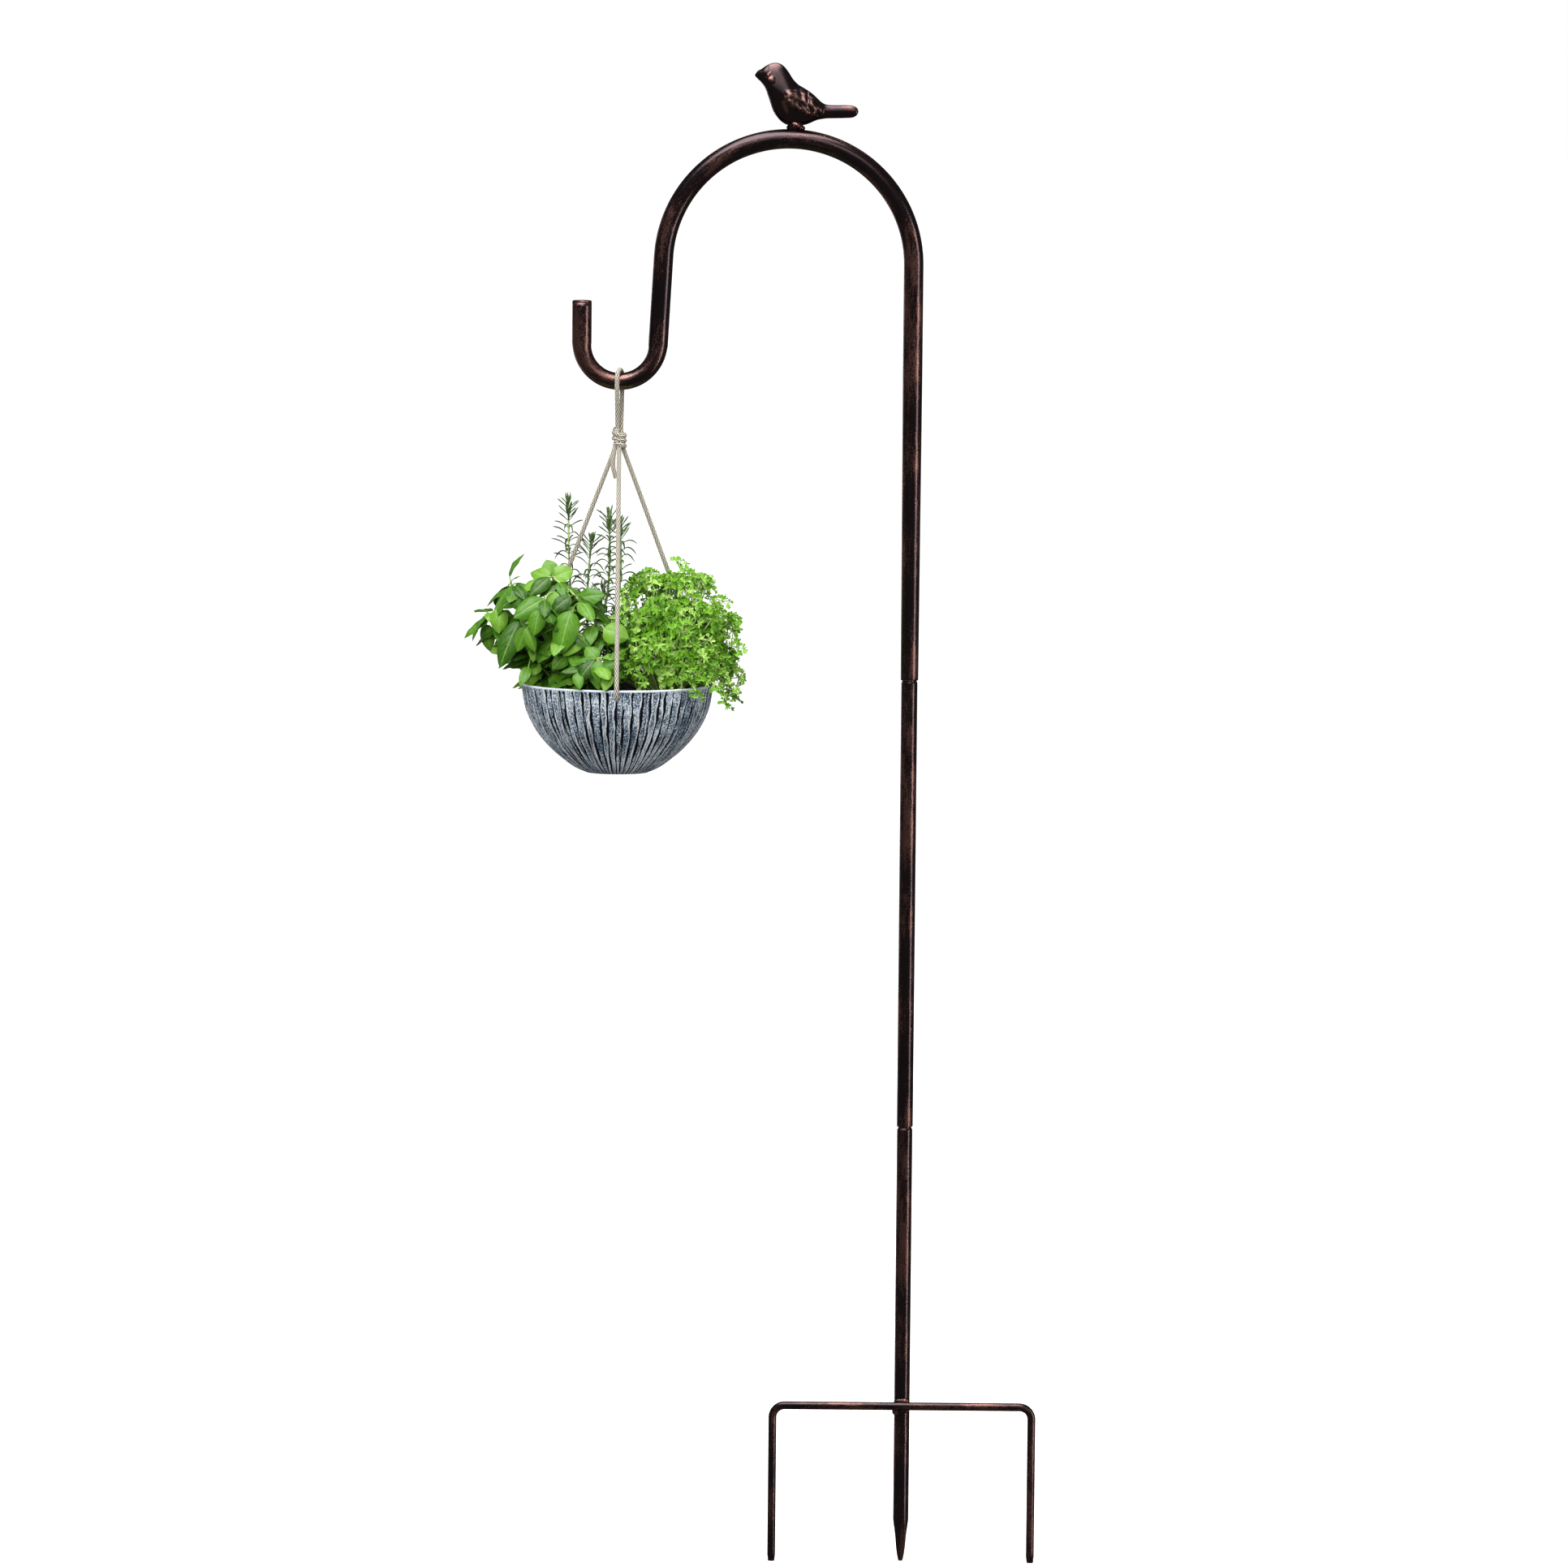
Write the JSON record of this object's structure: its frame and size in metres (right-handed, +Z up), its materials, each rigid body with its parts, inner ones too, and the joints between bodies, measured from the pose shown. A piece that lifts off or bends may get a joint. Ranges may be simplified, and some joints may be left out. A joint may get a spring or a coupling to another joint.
{
  "type": "hanging plant stand",
  "caption": "Garden shepherd's crook that steps into soil on a forked spike, in push-fit tubes with a bird on its arch, and a corded bowl of herbs hanging from its hook",
  "frame": {"origin": "on the pole's axis at ground level, the underside of the foot bar", "axes": "+Z up the pole, +X away from the hook, -Y towards the front, where the foot bar is welded"},
  "size_m": [0.5627, 0.1955, 1.4788],
  "materials": {
    "bronze_tube": "satin",
    "bronze_rod": "satin",
    "bronze_weld": "satin",
    "bronze_casting": "satin",
    "cord": "matte",
    "bowl_resin": "matte",
    "potting_mix": "matte",
    "basil_leaf": "satin",
    "rosemary_leaf": "satin",
    "parsley_leaf": "satin"
  },
  "bodies": {
    "ground_stake": {"lower_tube": "bronze_tube", "fork_rod": "bronze_rod", "fork_weld_top": "bronze_weld", "fork_weld_bottom": "bronze_weld"},
    "middle_pole": {"middle_tube": "bronze_tube"},
    "crook": {"hook_tube": "bronze_tube", "hook_tip_cap": "bronze_tube", "bird_finial": "bronze_casting", "bird_weld": "bronze_weld"},
    "hanging_loop": {"cord_loop": "cord"},
    "knot": {"cord_knot": "cord"},
    "planter": {"hanger_front": "cord", "hanger_right": "cord", "hanger_left": "cord", "cord_tail": "cord", "stop_knot_front": "cord", "stop_knot_right": "cord", "stop_knot_left": "cord", "planter_bowl": "bowl_resin", "potting_soil": "potting_mix", "basil": "basil_leaf", "rosemary": "rosemary_leaf", "parsley": "parsley_leaf"}
  },
  "joints": [
    {"name": "pole_lift", "type": "slide", "parent": "ground_stake", "child": "middle_pole", "axis": [0, 0, 1], "range_m": [0, 0.06]},
    {"name": "crook_swivel", "type": "hinge", "parent": "middle_pole", "child": "crook", "pos_m": [0, 0, 0.723], "axis": [0, 0, 1], "continuous": true},
    {"name": "loop_swing", "type": "hinge", "parent": "crook", "child": "hanging_loop", "pos_m": [-0.2869, 0, 1.0139], "axis": [1, 0, 0], "range_deg": [-35, 35]},
    {"name": "knot_sway", "type": "hinge", "parent": "hanging_loop", "child": "knot", "pos_m": [-0.2869, 0, 0.9585], "axis": [0, 1, 0], "range_deg": [-20, 20]},
    {"name": "planter_twist", "type": "hinge", "parent": "knot", "child": "planter", "pos_m": [-0.2869, 0, 0.9585], "axis": [0, 0, 1], "range_deg": [-90, 90]}
  ]
}
